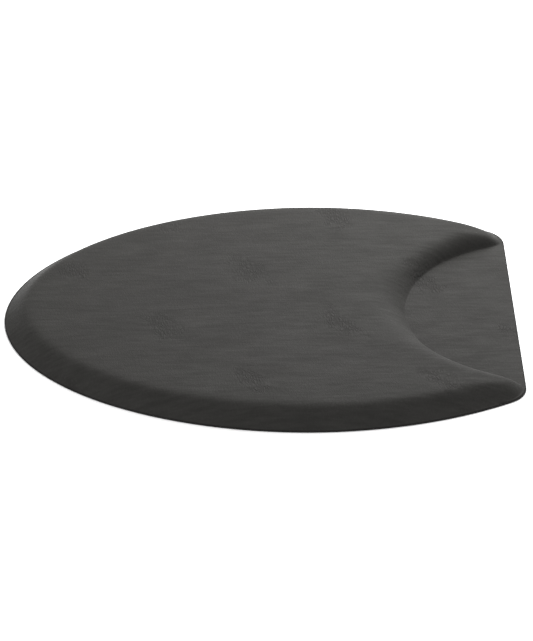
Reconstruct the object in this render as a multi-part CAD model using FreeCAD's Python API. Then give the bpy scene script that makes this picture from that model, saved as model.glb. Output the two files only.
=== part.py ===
import FreeCAD, Part
import math
import os

from FreeCAD import Vector

# A standing mat: an oval foam pad with a rounded edge, cut straight across at one end. At that end a round
# recess goes down to a thin floor, where the base of a stool or the foot of a chair can stand.
# Millimetres. +X runs along the mat to the straight end, +Z is up, and Z = 0 is the floor under the
# middle of the mat.

# ---- driving dimensions ----
LENGTH = 660.0
WIDTH = 552.0
THICKNESS = 23.0

OVAL_HALF_LENGTH = 393.5  # the oval is cut short by the straight end
OVAL_POWER = 1.96  # 2 would be an ellipse
CORNER_RADIUS = 38.0  # in plan, where the oval meets the straight end

BASE_THICKNESS = 1.6
BASE_LIP = 1.2  # the base sheet stands out this far all round under the skin
SKIN_THICKNESS = 1.0
SUPPORT_FOAM_THICKNESS = 9.0

RECESS_RADIUS = 178.0  # of the recess floor
RECESS_CENTRE_PAST_END = 37.5

# Each shoulder rises as 1 - (1 - s)^p, where s is the share of its width.
EDGE_WIDTH = 43.0
EDGE_POWER = 2.15
NOSE_WIDTH = 50.0  # of the recess's ramp in its middle, where it is gentlest
NOSE_POWER = 2.1
RAMP_WIDTH = 30.0  # of the same ramp at the two horns
RAMP_POWER = 5.5
NOSE_REACH = 0.8  # sine of the turn, off the mat's long axis, by which the ramp is at its steepest
TIP_WIDTH = 100.0  # the horns thin out over this length
TIP_POWER = 1.45
HEIGHT_SHARES = (0.0, 0.12, 0.26, 0.41, 0.56, 0.7, 0.82, 0.91, 0.97, 1.0)
CROWN_OVERSHOOT = 0.3  # a shoulder would end this far above the pad, so it crosses the top at an angle

TREAD_PITCH = 34.0
TREAD_POCKET = 29.0  # across the flats of each six-sided pocket
TREAD_DEPTH = 0.6
TREAD_MARGIN = 16.0  # flat border inside the outline

# ---- worked out from them ----
END_X = LENGTH / 2
OVAL_X = OVAL_HALF_LENGTH - END_X
OVAL_HALF_WIDTH = WIDTH / 2
RECESS_X = END_X + RECESS_CENTRE_PAST_END
FLOOR_Z = BASE_THICKNESS + SKIN_THICKNESS
SUPPORT_TOP_Z = BASE_THICKNESS + SUPPORT_FOAM_THICKNESS

RING_POINTS = 40
CLEAR = 60.0  # how far a cutter stands past what it cuts


def oval_point(turn, inset, z):
    """The point of the oval at this turn, moved inwards square to the outline."""
    cosine = math.cos(turn)
    sine = math.sin(turn)
    u = math.copysign(abs(cosine) ** (2 / OVAL_POWER), cosine)
    v = math.copysign(abs(sine) ** (2 / OVAL_POWER), sine)
    slope_x = math.copysign(abs(u) ** (OVAL_POWER - 1), u) / OVAL_HALF_LENGTH
    slope_y = math.copysign(abs(v) ** (OVAL_POWER - 1), v) / OVAL_HALF_WIDTH
    steepness = math.hypot(slope_x, slope_y)
    x = OVAL_X + OVAL_HALF_LENGTH * u - inset * slope_x / steepness
    y = OVAL_HALF_WIDTH * v - inset * slope_y / steepness
    return Vector(x, y, z)


def spline(points, closed=False):
    curve = Part.BSplineCurve()
    curve.interpolate(Points=points, PeriodicFlag=closed)
    return Part.Wire([curve.toShape()])


def ring_turns():
    return [2 * math.pi * k / RING_POINTS for k in range(RING_POINTS)]


def oval_wire(inset, z):
    return spline([oval_point(turn, inset, z) for turn in ring_turns()], True)


def shoulder(width, height, power, depth):
    """(inset, height) points up a shoulder, each moved square to it into the foam by depth."""
    line = []
    for share in HEIGHT_SHARES:
        line.append((width * (1 - (1 - share) ** (1 / power)), height * share))
    moved = []
    for k, (inset, rise) in enumerate(line):
        before = line[max(k - 1, 0)]
        after = line[min(k + 1, len(line) - 1)]
        run = after[0] - before[0]
        climb = after[1] - before[1]
        if k == 0:
            run = 0.0
        if k == len(line) - 1:
            climb = 0.0
        size = math.hypot(run, climb)
        moved.append((inset + depth * climb / size, rise - depth * run / size))
    return moved


def plate(inset, low, high):
    """The plan outline between two heights: the oval, cut straight across, its two corners rounded."""
    slab = Part.Face(oval_wire(inset, low)).extrude(Vector(0, 0, high - low))
    size = 2 * OVAL_HALF_LENGTH
    keep = Part.makeBox(size, 2 * size, high - low, Vector(END_X - inset - size, -size, low))
    slab = slab.common(keep)
    radius = CORNER_RADIUS - inset
    if radius <= 0:
        return slab
    corners = []
    for edge in slab.Edges:
        box = edge.BoundBox
        if box.ZLength > 0.9 * (high - low) and box.XLength < 0.01 and box.XMin > END_X - inset - 1:
            corners.append(edge)
    return slab.makeFillet(radius, corners)


def edge_body(depth):
    """The whole pad with its rounded edge, as if the oval weren't cut short."""
    height = THICKNESS - BASE_THICKNESS
    rings = []
    for inset, rise in shoulder(EDGE_WIDTH, height, EDGE_POWER, depth):
        rings.append(oval_wire(BASE_LIP + inset, BASE_THICKNESS + rise))
    return Part.makeLoft(rings, True, False)


def ramp_line(turn, depth):
    """The ramp's shoulder at this turn: gentle in the middle of the recess, steep towards the horns."""
    reach = min(abs(math.sin(turn)) / NOSE_REACH, 1.0)
    steep = reach * reach * (3 - 2 * reach)
    width = NOSE_WIDTH + (RAMP_WIDTH - NOSE_WIDTH) * steep
    power = NOSE_POWER + (RAMP_POWER - NOSE_POWER) * steep
    return shoulder(width, THICKNESS - FLOOR_Z + CROWN_OVERSHOOT, power, depth)


def recess_rings(depth):
    """The ramp's level lines, all the way round the recess's own upright axis, from the floor up."""
    turns = ring_turns()
    lines = [ramp_line(turn, depth) for turn in turns]
    rings = []
    for k in range(len(HEIGHT_SHARES)):
        points = []
        for turn, line in zip(turns, lines):
            inset, rise = line[k]
            radius = RECESS_RADIUS + inset
            x = RECESS_X + radius * math.cos(turn)
            points.append(Vector(x, radius * math.sin(turn), FLOOR_Z + rise))
        rings.append(spline(points, True))
    return rings


def recess_bowl(rings):
    """What the recess takes away from its floor up, and the open space over it."""
    above = Part.Face(rings[-1]).extrude(Vector(0, 0, CLEAR))
    return Part.makeLoft(rings, True, False).fuse(above)


def end_keeper(depth):
    """Everything behind the straight end, with the two horns thinning out towards their tips."""
    height = THICKNESS - FLOOR_Z + CROWN_OVERSHOOT
    side = -WIDTH
    nose = []
    for inset, rise in shoulder(TIP_WIDTH, height, TIP_POWER, depth):
        nose.append(Vector(END_X - BASE_LIP - inset, side, FLOOR_Z + rise))
    low = Vector(nose[0].x, side, BASE_THICKNESS - CLEAR)
    far_low = Vector(-LENGTH, side, low.z)
    far_high = Vector(-LENGTH, side, nose[-1].z)
    outline = Part.makePolygon([nose[-1], far_high, far_low, low, nose[0]]).Edges
    return Part.Face(Part.Wire(spline(nose).Edges + outline)).extrude(Vector(0, 2 * WIDTH, 0))


def mound(depth):
    """The pad with no recess, everywhere this far under its finished surface, down to the base sheet."""
    body = edge_body(depth)
    body = body.common(plate(BASE_LIP + depth, BASE_THICKNESS, THICKNESS + CLEAR))
    return body.common(end_keeper(depth))


def foam_core():
    """Both foam layers together. The recess goes right through them."""
    rings = recess_rings(SKIN_THICKNESS)
    below = Part.Face(rings[0]).extrude(Vector(0, 0, -CLEAR))
    return mound(SKIN_THICKNESS).cut(recess_bowl(rings).fuse(below))


def tread_pockets():
    """Six-sided pockets in rows, each wholly inside the outline's flat border."""
    land = plate(TREAD_MARGIN, -1.0, 1.0)
    corner = TREAD_POCKET / math.sqrt(3)
    row_pitch = TREAD_PITCH * math.sqrt(3) / 2
    rows = int(OVAL_HALF_WIDTH / row_pitch) + 1
    columns = int(END_X / TREAD_PITCH) + 2
    pockets = []
    for row in range(-rows, rows + 1):
        for column in range(-columns, columns + 1):
            x = TREAD_PITCH * (column + 0.5 * (row % 2))
            y = row_pitch * row
            ring = []
            for k in range(7):
                angle = math.radians(30 + 60 * k)
                ring.append(Vector(x + corner * math.cos(angle), y + corner * math.sin(angle), -1.0))
            if all(land.isInside(Vector(p.x, p.y, 0), 0.01, True) for p in ring):
                pockets.append(Part.Face(Part.makePolygon(ring)).extrude(Vector(0, 0, 1.0 + TREAD_DEPTH)))
    return Part.makeCompound(pockets)


def base_sheet():
    return plate(0.0, 0.0, BASE_THICKNESS).cut(tread_pockets())


def top_skin(core):
    return mound(0.0).cut(recess_bowl(recess_rings(0.0))).cut(core)


def foam_layer(core, low, high):
    slab = Part.makeBox(2 * LENGTH, 2 * WIDTH, high - low, Vector(-LENGTH, -WIDTH, low))
    return core.common(slab)


def save(node, shape):
    solids = shape.Solids
    for solid in solids:
        if not solid.isValid():
            print("not valid:", node)
    whole = solids[0] if len(solids) == 1 else Part.makeCompound(solids)
    whole.exportStep("parts/" + node + ".step")
    box = whole.optimalBoundingBox()
    print(node, len(solids), "solids", round(whole.Volume / 1000, 1), "cm3",
          [round(v, 2) for v in (box.XMin, box.XMax, box.YMin, box.YMax, box.ZMin, box.ZMax)])


os.makedirs("parts", exist_ok=True)
core = foam_core()
save("base_sheet", base_sheet())
save("support_foam", foam_layer(core, BASE_THICKNESS, SUPPORT_TOP_Z))
save("comfort_foam", foam_layer(core, SUPPORT_TOP_Z, THICKNESS))
save("top_skin", top_skin(core))
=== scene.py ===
"""An oval foam standing mat with a round recess at its straight end. Metres, in the CAD's own frame."""
import math

import bpy
import numpy as np
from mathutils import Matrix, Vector, geometry


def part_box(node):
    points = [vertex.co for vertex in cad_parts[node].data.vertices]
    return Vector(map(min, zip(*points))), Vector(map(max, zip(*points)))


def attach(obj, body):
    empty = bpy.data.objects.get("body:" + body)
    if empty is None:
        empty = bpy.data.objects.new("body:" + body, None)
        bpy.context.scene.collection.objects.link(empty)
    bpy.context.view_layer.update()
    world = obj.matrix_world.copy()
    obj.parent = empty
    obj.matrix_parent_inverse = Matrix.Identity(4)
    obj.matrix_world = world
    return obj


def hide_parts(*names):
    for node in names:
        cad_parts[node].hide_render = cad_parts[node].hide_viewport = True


MM = 0.001

# ---- the frame, and what is worked out from it ----
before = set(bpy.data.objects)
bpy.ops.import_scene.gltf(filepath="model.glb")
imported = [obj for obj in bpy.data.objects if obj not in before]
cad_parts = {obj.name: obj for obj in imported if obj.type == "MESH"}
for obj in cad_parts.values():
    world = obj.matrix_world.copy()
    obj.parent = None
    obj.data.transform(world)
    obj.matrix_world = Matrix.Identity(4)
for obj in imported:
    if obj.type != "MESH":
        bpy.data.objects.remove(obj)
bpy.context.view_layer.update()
base_low, base_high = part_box("base_sheet")
skin_low, skin_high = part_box("top_skin")
soft_low, soft_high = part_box("comfort_foam")

BASE_TOP = base_high.z
TOP = skin_high.z
FOAM_JOINT = soft_low.z
SKIN = TOP - soft_high.z
END_X = skin_high.x  # the skin's straight end
LIP = base_high.x - skin_high.x  # how far the base sheet stands out under the skin
HALF_WIDTH = skin_high.y

OVAL_A = 393.5 * MM - LIP
OVAL_X = skin_low.x + OVAL_A
OVAL_POWER = 1.96
CORNER_RADIUS = 38 * MM - LIP
RECESS_R = 178 * MM
RECESS_X = base_high.x + 37.5 * MM

# The edge is a straight slope that would reach the top over EDGE_RUN, with a rounded shoulder.
EDGE_RUN = 26.5 * MM
EDGE_TURN = 8.0  # higher is a tighter shoulder
HORN_LENGTH = 66 * MM  # the edge grows gentler over this length, up to the straight end
HORN_RUN = 30 * MM
TIP_LENGTH = 86 * MM  # the horns thin out over this length
TIP_PAST_END = 10 * MM  # and would reach the base sheet this far past the straight end
TIP_BOW = 2.0

# The recess's ramp is a width and two exponents. It rises as (1 - (1 - s)^bow)^(1 / lift), where s is the
# share of its width, so a larger bow flattens its top sooner, and a larger lift makes its foot steeper.
NOSE = (60 * MM, 2.8, 0.95)  # in the middle of the recess, where it is gentlest
RAMP = (36 * MM, 3.0, 1.15)  # at the two horns
NOSE_REACH = 0.8  # sine of the turn by which the ramp is at its steepest
BLEND_POWER = 4.0  # higher is a sharper ridge where the edge and the ramp meet

STEP = 3.0 * MM  # spacing of points along the outline
FILL_STEP = 4.6 * MM
# Rings of points, in millimetres in from the outline or out from the recess's floor, close where it bends.
EDGE_RINGS = (
    0.5, 1.0, 1.7, 2.6, 3.8, 5.3, 7.0, 9.0, 11.2, 13.6, 16.2, 19.0, 22.0, 25.4, 29.0, 33.0, 37.5, 42.0,
)
RAMP_RINGS = (
    -3.0, -1.2, -0.4, 0.1, 0.3, 0.7, 1.3, 2.1, 3.1, 4.4, 6.0, 8.0, 10.4, 13.2, 16.6, 20.6, 25.2, 30.0, 35.0,
)
TIP_RINGS = (0.35, 0.8, 1.3, 2.0, 3.0, 4.3, 6.0, 8.0, 10.5)
CLOSEST = 0.42  # points of a later ring keep this share of their own step from earlier ones
SHUT = 0.02 * MM  # where a layer is thinner than this, its two faces share their points
GLUE_GAP = 0.05 * MM  # between the skin, the soft foam and the firm foam
STEEPEST = 0.2  # least upward part of a normal that the skin's thickness is divided by
RIM_GAP = 0.3 * MM  # rings of points stay this far from the outline


def signed_power(values, power):
    return np.sign(values) * np.abs(values) ** power


def oval(turns, inset):
    """Points of the oval outline, moved inwards square to it."""
    turns = np.asarray(turns, float)
    u = signed_power(np.cos(turns), 2 / OVAL_POWER)
    v = signed_power(np.sin(turns), 2 / OVAL_POWER)
    slope_x = signed_power(u, OVAL_POWER - 1) / OVAL_A
    slope_y = signed_power(v, OVAL_POWER - 1) / HALF_WIDTH
    steep = np.hypot(slope_x, slope_y)
    x = OVAL_X + OVAL_A * u - inset * slope_x / steep
    y = HALF_WIDTH * v - inset * slope_y / steep
    return np.column_stack([x, y])


def corner_turn():
    """The turn of the oval's point where the rounded corner starts, found by halving."""
    low, high = 0.0, math.pi / 2
    for _ in range(60):
        middle = (low + high) / 2
        if oval([middle], CORNER_RADIUS)[0][0] > END_X - CORNER_RADIUS:
            low = middle
        else:
            high = middle
    return low


CORNER_TURN = corner_turn()
CORNER_AT = oval([CORNER_TURN], CORNER_RADIUS)[0]


def oval_part(inset, step=STEP):
    """The curved part of the outline, from the back corner round the far end to the front corner."""
    count = int(math.pi * (OVAL_A + HALF_WIDTH) / step)
    turns = np.linspace(CORNER_TURN, 2 * math.pi - CORNER_TURN, count)
    return oval(turns, inset)


def end_part(inset, step=STEP):
    """The front corner, the straight end and the back corner."""
    radius = max(CORNER_RADIUS - inset, 0.2 * MM)
    meet = oval([CORNER_TURN], 0.0)[0] - CORNER_AT
    lean = math.atan2(meet[1], meet[0])
    angles = np.linspace(-lean, 0, max(int(CORNER_RADIUS * lean / (step * 0.4)), 5))
    front = CORNER_AT * (1, -1) + radius * np.column_stack([np.cos(angles), np.sin(angles)])
    back = front[::-1] * (1, -1)
    count = int(2 * CORNER_AT[1] / step)
    ys = np.linspace(-CORNER_AT[1], CORNER_AT[1], count)[1:-1]
    line = np.column_stack([np.full(len(ys), CORNER_AT[0] + radius), ys])
    return np.vstack([front, line, back])


def distance_to(points, line):
    """How far each point is from an open line of straight pieces."""
    best = np.full(len(points), np.inf)
    for start, stop in zip(line[:-1], line[1:]):
        along = stop - start
        share = np.clip((points - start) @ along / (along @ along), 0, 1)
        gap = points - (start + share[:, None] * along)
        best = np.minimum(best, np.hypot(gap[:, 0], gap[:, 1]))
    return best


def edge_rise(inset, run):
    """Share of the full height reached this far in from the outline."""
    straight = inset / run
    return straight / (1 + straight ** EDGE_TURN) ** (1 / EDGE_TURN)


def ramp_rise(distance, width, bow, lift):
    """Share of the full height reached this far out from the recess's floor."""
    share = np.clip(distance / width, 0, 1)
    return (1 - (1 - share) ** bow) ** (1 / lift)


def surface(points):
    """Height of the skin's outer face over each point."""
    inset = distance_to(points, np.vstack([oval_part(0.0), end_part(0.0)]))
    horn = np.clip((points[:, 0] - END_X) / HORN_LENGTH + 1, 0, 1) ** 2
    edge = edge_rise(inset, EDGE_RUN + (HORN_RUN - EDGE_RUN) * horn)
    reach = np.hypot(points[:, 0] - RECESS_X, points[:, 1])
    turn = np.minimum(np.abs(points[:, 1]) / reach / NOSE_REACH, 1)
    steep = turn * turn * (3 - 2 * turn)
    ramp = ramp_rise(reach - RECESS_R, *(low + (high - low) * steep for low, high in zip(NOSE, RAMP)))
    tip = 1 - np.clip(1 - (END_X + TIP_PAST_END - points[:, 0]) / TIP_LENGTH, 0, 1) ** TIP_BOW
    gap = sum((1 - rise) ** BLEND_POWER for rise in (edge, ramp, tip)) ** (1 / BLEND_POWER)
    rim = np.clip(inset / SKIN, 0, 1)
    floor = SKIN * np.sqrt(1 - (1 - rim) ** 2)
    return BASE_TOP + np.maximum((TOP - BASE_TOP) * (1 - gap), floor)


class Scatter:
    """Points that keep their distance from those placed before them."""

    def __init__(self):
        self.points = []
        self.cells = {}
        self.cell = 2.0 * MM

    def key(self, x, y):
        return int(math.floor(x / self.cell)), int(math.floor(y / self.cell))

    def crowded(self, x, y, gap):
        reach = int(math.ceil(gap / self.cell))
        i, j = self.key(x, y)
        for a in range(i - reach, i + reach + 1):
            for b in range(j - reach, j + reach + 1):
                for k in self.cells.get((a, b), ()):
                    px, py = self.points[k]
                    if (px - x) ** 2 + (py - y) ** 2 < gap * gap:
                        return True
        return False

    def add(self, line, gap):
        """Adds the points of a line, and returns the index of each one kept."""
        kept = []
        for x, y in line:
            if gap and self.crowded(x, y, gap):
                continue
            kept.append(len(self.points))
            self.cells.setdefault(self.key(x, y), []).append(len(self.points))
            self.points.append((float(x), float(y)))
        return kept


def inside(points, margin):
    """Which points lie in the outline, this far from its edge."""
    u = np.abs(points[:, 0] - OVAL_X) / OVAL_A
    v = np.abs(points[:, 1]) / HALF_WIDTH
    in_oval = (u ** OVAL_POWER + v ** OVAL_POWER) < 1
    in_end = points[:, 0] < END_X - margin
    past_corner = (points[:, 0] > CORNER_AT[0]) & (np.abs(points[:, 1]) > CORNER_AT[1])
    reach = np.hypot(points[:, 0] - CORNER_AT[0], np.abs(points[:, 1]) - CORNER_AT[1])
    return in_oval & in_end & ~(past_corner & (reach > CORNER_RADIUS - margin))


def ring_gaps(rings):
    """For each ring, the smaller of the gaps to its neighbours."""
    rings = np.asarray(rings, float)
    gaps = np.diff(rings)
    return np.minimum(np.append(gaps, gaps[-1]), np.insert(gaps, 0, gaps[0])) * MM


def recess_ring(offset, step):
    radius = RECESS_R + offset
    count = int(math.pi * radius / step)
    angles = np.linspace(math.pi / 2 - 0.3, 3 * math.pi / 2 + 0.3, count)
    ring = np.column_stack([RECESS_X + radius * np.cos(angles), radius * np.sin(angles)])
    return ring[inside(ring, RIM_GAP)]


def plan_mesh():
    """Points and triangles that fill the outline, with rings of points along every shoulder."""
    scatter = Scatter()
    outline = np.vstack([oval_part(0.0)[:-1], end_part(0.0)[:-1]])
    border = scatter.add(outline, 0)
    foot = scatter.add(recess_ring(0.0, STEP), RIM_GAP)
    for inset, gap in zip(TIP_RINGS, ring_gaps(TIP_RINGS)):
        ring = end_part(inset * MM)
        scatter.add(ring, CLOSEST * gap)
    for offset, gap in zip(RAMP_RINGS, ring_gaps(RAMP_RINGS)):
        scatter.add(recess_ring(offset * MM, STEP), CLOSEST * gap)
    for inset, gap in zip(EDGE_RINGS, ring_gaps(EDGE_RINGS)):
        ring = oval_part(inset * MM)
        ring = ring[inside(ring, RIM_GAP)]
        ring = ring[np.hypot(ring[:, 0] - RECESS_X, ring[:, 1]) > RECESS_R]
        scatter.add(ring, CLOSEST * gap)
    row_pitch = FILL_STEP * math.sqrt(3) / 2
    rows = int(HALF_WIDTH / row_pitch)
    columns = int(END_X / FILL_STEP) + 1
    for row in range(-rows, rows + 1):
        xs = FILL_STEP * (np.arange(-columns, columns + 1) + 0.5 * (row % 2))
        line = np.column_stack([xs, np.full(len(xs), row * row_pitch)])
        scatter.add(line[inside(line, MM)], 0.75 * FILL_STEP)
    points = [Vector(p) for p in scatter.points]
    crease = list(zip(foot[:-1], foot[1:]))
    flat, _, triangles, *_ = geometry.delaunay_2d_cdt(points, crease, [border], 1, 1e-7, False)
    return np.array([tuple(p) for p in flat]), np.array(triangles)


def brought_in(plan, room, triangles):
    """The plan's points, each one that has no room moved to where the room beside it starts."""
    moved = plan.copy()
    crossings = {}
    for t in triangles:
        for k in t:
            for near in t:
                if room[k] < 0 < room[near]:
                    share = room[k] / (room[k] - room[near])
                    crossings.setdefault(k, []).append(plan[k] + share * (plan[near] - plan[k]))
    for k, found in crossings.items():
        moved[k] = np.mean(found, axis=0)
    return moved


def slab(name, plan, triangles, low, high):
    """A closed mesh between two heights over the plan. Its two faces share their points where they meet."""
    room = high - low
    thick = room > SHUT
    top_of = np.full(len(plan), -1)
    low_of = np.full(len(plan), -1)
    places = []
    shown = [t for t in triangles if thick[t].any()]
    plan = brought_in(plan, room, shown)
    for t in shown:
        for k in t:
            if top_of[k] >= 0:
                continue
            low_of[k] = len(places)
            places.append((plan[k][0], plan[k][1], low[k]))
            top_of[k] = low_of[k]
            if thick[k]:
                top_of[k] = len(places)
                places.append((plan[k][0], plan[k][1], high[k]))
    faces = []
    for a, b, c in shown:
        faces.append((int(top_of[a]), int(top_of[b]), int(top_of[c])))
        faces.append((int(low_of[c]), int(low_of[b]), int(low_of[a])))
    mesh = bpy.data.meshes.new(name)
    mesh.from_pydata(places, [], faces)
    mesh.validate()
    mesh.update()
    piece = bpy.data.objects.new(name, mesh)
    bpy.context.scene.collection.objects.link(piece)
    mesh.polygons.foreach_set("use_smooth", [True] * len(mesh.polygons))
    return piece


def vertex_normals(points, triangles):
    corners = points[triangles]
    across = np.cross(corners[:, 1] - corners[:, 0], corners[:, 2] - corners[:, 0])
    normals = np.zeros_like(points)
    for k in range(3):
        np.add.at(normals, triangles[:, k], across)
    return normals / np.linalg.norm(normals, axis=1)[:, None]


# ---- materials ----
SKIN_DARK = (0.0258, 0.0252, 0.0239)
SKIN_LIGHT = (0.0352, 0.0344, 0.0327)
SKIN_GLOSS = 0.01
SKIN_SHEEN = (0.08, 0.3)  # weight and roughness of the pale sheen at grazing angles
PATCH_PITCH = (231 * MM, 137 * MM)
FIRST_PATCH = (-12 * MM, 80 * MM)
PATCH_HALF_SIZE = (20 * MM, 40 * MM)
PATCH_SLANT = math.radians(-28)
CREASE_DEPTH = 0.36 * MM
CREASE_WAVER = 4 * MM  # how far the creases are bent off their straight lines

RUBBER = ((0.016, 0.016, 0.016), (0.026, 0.025, 0.024))
RUBBER_GLOSS = 0.01
# Two colours, then the size of the foam's cells.
FIRM_FOAM = ((0.030, 0.030, 0.033), (0.075, 0.075, 0.08), 0.5 * MM)
SOFT_FOAM = ((0.09, 0.09, 0.095), (0.2, 0.2, 0.205), 0.9 * MM)


class Graph:
    """A material's nodes, made one call at a time."""

    def __init__(self, name):
        self.material = bpy.data.materials.new(name)
        self.material.use_nodes = True
        self.tree = self.material.node_tree
        self.shader = self.tree.nodes["Principled BSDF"]
        self.place = self.add("ShaderNodeTexCoord").outputs["Object"]

    def add(self, kind, inputs=None, **settings):
        node = self.tree.nodes.new(kind)
        for key, value in settings.items():
            setattr(node, key, value)
        for key, value in (inputs or {}).items():
            self.put(node.inputs[key], value)
        return node

    def put(self, socket, value):
        if isinstance(value, bpy.types.NodeSocket):
            self.tree.links.new(value, socket)
        else:
            socket.default_value = value

    def math(self, operation, *values):
        inputs = dict(enumerate(values))
        return self.add("ShaderNodeMath", inputs, operation=operation).outputs[0]

    def stretch(self, scale, place=None):
        """The place, scaled per axis, so that one unit of texture is 1 / scale metres."""
        inputs = {"Vector": place or self.place, "Scale": scale}
        return self.add("ShaderNodeMapping", inputs).outputs[0]

    def noise(self, scale, detail=2.0, roughness=0.5, place=None):
        inputs = {"Vector": self.stretch(scale, place), "Scale": 1.0}
        inputs.update({"Detail": detail, "Roughness": roughness})
        return self.add("ShaderNodeTexNoise", inputs).outputs["Fac"]

    def cells(self, scale, feature, place=None):
        inputs = {"Vector": self.stretch(scale, place), "Scale": 1.0}
        return self.add("ShaderNodeTexVoronoi", inputs, feature=feature).outputs["Distance"]

    def remap(self, value, low, high, to_low, to_high):
        inputs = {"Value": value, "From Min": low, "From Max": high, "To Min": to_low, "To Max": to_high}
        return self.add("ShaderNodeMapRange", inputs).outputs[0]

    def tint(self, dark, light, share):
        """A colour between two. Sockets 6 and 7 of the mix node are its two colours."""
        inputs = {0: share, 6: (*dark, 1), 7: (*light, 1)}
        return self.add("ShaderNodeMix", inputs, data_type="RGBA").outputs[2]

    def bump(self, height, depth):
        inputs = {"Height": height, "Distance": depth, "Strength": 1.0}
        node = self.add("ShaderNodeBump", inputs)
        self.put(self.shader.inputs["Normal"], node.outputs[0])


def crease_patches(graph):
    """Where the leather is creased: slanting patches in rows, each row half a step out from the next."""
    apart = graph.add("ShaderNodeSeparateXYZ", {"Vector": graph.place}).outputs
    row = graph.math("DIVIDE", graph.math("SUBTRACT", apart["Y"], FIRST_PATCH[1]), PATCH_PITCH[1])
    nearest_row = graph.math("ROUND", row)
    column = graph.math("DIVIDE", graph.math("SUBTRACT", apart["X"], FIRST_PATCH[0]), PATCH_PITCH[0])
    column = graph.math("ADD", column, graph.math("MULTIPLY", nearest_row, 0.5))
    across = graph.math("SUBTRACT", column, graph.math("ROUND", column))
    along = graph.math("SUBTRACT", row, nearest_row)
    inputs = {
        "X": graph.math("MULTIPLY", across, PATCH_PITCH[0]),
        "Y": graph.math("MULTIPLY", along, PATCH_PITCH[1]),
    }
    offset = graph.add("ShaderNodeCombineXYZ", inputs).outputs[0]
    turned = graph.add("ShaderNodeVectorRotate", {"Vector": offset, "Angle": PATCH_SLANT}).outputs[0]
    reach = graph.stretch((1 / PATCH_HALF_SIZE[0], 1 / PATCH_HALF_SIZE[1], 1), turned)
    reach = graph.add("ShaderNodeVectorMath", {0: reach}, operation="LENGTH").outputs["Value"]
    ragged = graph.remap(graph.noise((60, 60, 60), 3.0), 0.3, 0.7, -0.55, 0.55)
    return graph.remap(graph.math("ADD", reach, ragged), 1.1, 0.3, 0.0, 1.0)


def embossed_skin():
    graph = Graph("embossed_skin")
    streaks = graph.noise((26, 240, 60), 4.0, 0.66)
    smudges = graph.noise((17, 34, 34), 4.0, 0.6)
    share = graph.math("ADD", graph.math("MULTIPLY", streaks, 0.6), graph.math("MULTIPLY", smudges, 0.4))
    share = graph.remap(share, 0.34, 0.66, 0.0, 1.0)
    patches = crease_patches(graph)
    waver = graph.add("ShaderNodeTexNoise", {"Vector": graph.place, "Scale": 90.0, "Detail": 1.0})
    waver = graph.add(
        "ShaderNodeVectorMath", {0: waver.outputs["Color"], "Scale": CREASE_WAVER}, operation="SCALE"
    )
    bent = graph.add("ShaderNodeVectorMath", {0: graph.place, 1: waver.outputs[0]}, operation="ADD")
    creases = graph.cells((300, 95, 160), "DISTANCE_TO_EDGE", bent.outputs[0])
    creases = graph.remap(creases, 0.0, 0.3, 0.0, 1.0)
    depth = graph.remap(patches, 0.0, 1.0, 0.25, 1.2)
    # The crease mask below drives the bump, and it is also painted into the colour as painted shade: the
    # creases are drawn darker than the skin's own streaks and smudges.
    hollow = graph.math("MULTIPLY", graph.math("SUBTRACT", 1.0, creases), depth)
    tone_and_crease_shade = graph.math("SUBTRACT", share, graph.math("MULTIPLY", hollow, 0.8))
    graph.put(graph.shader.inputs["Base Color"], graph.tint(SKIN_DARK, SKIN_LIGHT, tone_and_crease_shade))
    graph.put(graph.shader.inputs["Roughness"], graph.remap(share, 0.0, 1.0, 0.66, 0.56))
    graph.shader.inputs["Specular IOR Level"].default_value = SKIN_GLOSS
    graph.shader.inputs["Sheen Weight"].default_value = SKIN_SHEEN[0]
    graph.shader.inputs["Sheen Roughness"].default_value = SKIN_SHEEN[1]
    grain = graph.cells((620, 700, 700), "DISTANCE_TO_EDGE")
    grain = graph.math("MULTIPLY", graph.remap(grain, 0.0, 0.25, 0.0, 1.0), 0.2)
    graph.bump(graph.math("SUBTRACT", grain, hollow), CREASE_DEPTH)
    return graph.material


def grip_rubber():
    graph = Graph("grip_rubber")
    mottle = graph.noise((60, 60, 60), 4.0)
    graph.put(graph.shader.inputs["Base Color"], graph.tint(*RUBBER, mottle))
    graph.shader.inputs["Specular IOR Level"].default_value = RUBBER_GLOSS
    graph.shader.inputs["Roughness"].default_value = 0.7
    graph.bump(graph.noise((900, 900, 900), 2.0), 0.05 * MM)
    return graph.material


def foam(name, dark, light, cell_size):
    graph = Graph(name)
    scale = (1 / cell_size,) * 3
    cells = graph.cells(scale, "F1")
    graph.put(graph.shader.inputs["Base Color"], graph.tint(light, dark, cells))
    graph.shader.inputs["Roughness"].default_value = 0.9
    graph.bump(cells, -0.4 * cell_size)
    return graph.material


def studio_floor():
    graph = Graph("studio_floor")
    graph.shader.inputs["Base Color"].default_value = (0.86, 0.86, 0.86, 1)
    graph.shader.inputs["Roughness"].default_value = 0.9
    return graph.material


# ---- the mat ----
def dress(piece, material, node):
    piece.data.materials.clear()
    piece.data.materials.append(material)
    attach(piece, "root")
    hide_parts(node)


def build_mat():
    plan, triangles = plan_mesh()
    top = surface(plan)
    normals = vertex_normals(np.column_stack([plan, top]), triangles)
    inner = np.maximum(top - SKIN / np.maximum(normals[:, 2], STEEPEST), BASE_TOP)
    skin = slab("mat_skin", plan, triangles, inner, top)
    dress(skin, embossed_skin(), "top_skin")
    core = np.maximum(inner - GLUE_GAP, BASE_TOP)
    bottom = np.full(len(plan), BASE_TOP)
    firm = slab("firm_foam_layer", plan, triangles, bottom, np.minimum(core, FOAM_JOINT))
    dress(firm, foam("firm_foam", *FIRM_FOAM), "support_foam")
    joint = np.full(len(plan), FOAM_JOINT + GLUE_GAP)
    soft = slab("soft_foam_layer", plan, triangles, joint, core)
    dress(soft, foam("soft_foam", *SOFT_FOAM), "comfort_foam")


def finish_base():
    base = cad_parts["base_sheet"]
    base.data.materials.clear()
    base.data.materials.append(grip_rubber())


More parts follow.
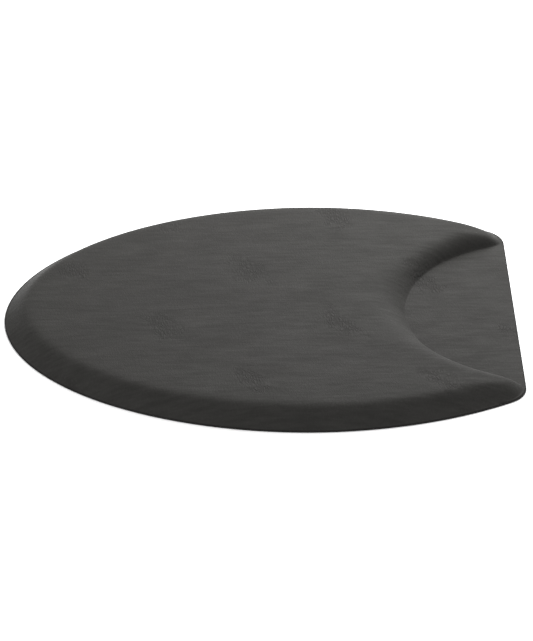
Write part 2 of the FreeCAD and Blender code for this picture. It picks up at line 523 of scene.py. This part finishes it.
# ---- the studio ----
VIEW_AZIMUTH = math.radians(-1.30)  # from the mat's near side, -Y, towards +X
VIEW_ELEVATION = math.radians(31.3)
VIEW_DISTANCE = 4.668
VIEW_LENS = 202.5
VIEW_CENTRE = Vector((8.35, -1.56, -4.68)) * MM
FLOOR_REACH = 40.0


def aim(item, target):
    item.rotation_euler = (Vector(target) - item.location).to_track_quat("-Z", "Y").to_euler()


def add_camera():
    """The view: from the long side, 31 degrees above the floor, through a long lens."""
    level = Vector((math.sin(VIEW_AZIMUTH), -math.cos(VIEW_AZIMUTH), 0))
    back = level * math.cos(VIEW_ELEVATION) + Vector((0, 0, math.sin(VIEW_ELEVATION)))
    data = bpy.data.cameras.new("camera")
    data.lens = VIEW_LENS
    camera = bpy.data.objects.new("camera", data)
    camera.location = VIEW_CENTRE + back * VIEW_DISTANCE
    aim(camera, VIEW_CENTRE)
    bpy.context.scene.collection.objects.link(camera)
    bpy.context.scene.camera = camera


def add_light(name, azimuth, elevation, distance, size, power):
    """A square lamp aimed at the mat. Its azimuth is from the mat's back, +Y, towards +X."""
    data = bpy.data.lights.new(name, "AREA")
    data.shape = "SQUARE"
    data.size = size
    data.energy = power
    lamp = bpy.data.objects.new(name, data)
    turn, climb = math.radians(azimuth), math.radians(elevation)
    away = Vector((math.sin(turn) * math.cos(climb), math.cos(turn) * math.cos(climb), math.sin(climb)))
    lamp.location = away * distance
    bpy.context.scene.collection.objects.link(lamp)
    aim(lamp, (0, 0, 0))


def add_studio():
    mesh = bpy.data.meshes.new("floor")
    corners = [(x * FLOOR_REACH, y * FLOOR_REACH, 0) for x, y in ((-1, -1), (1, -1), (1, 1), (-1, 1))]
    mesh.from_pydata(corners, [], [(0, 1, 2, 3)])
    mesh.materials.append(studio_floor())
    floor = bpy.data.objects.new("floor", mesh)
    bpy.context.scene.collection.objects.link(floor)
    add_light("key", 20, 32, 1.6, 0.9, 60)
    add_light("side", -95, 14, 2.0, 1.2, 9)
    add_light("front", 180, 6, 2.0, 1.2, 3)
    world = bpy.data.worlds.new("studio")
    world.use_nodes = True
    background = world.node_tree.nodes["Background"]
    background.inputs["Color"].default_value = (1, 1, 1, 1)
    background.inputs["Strength"].default_value = 0.90
    bpy.context.scene.world = world
    bpy.context.scene.view_settings.view_transform = "Standard"


add_camera()
add_studio()
build_mat()
finish_base()
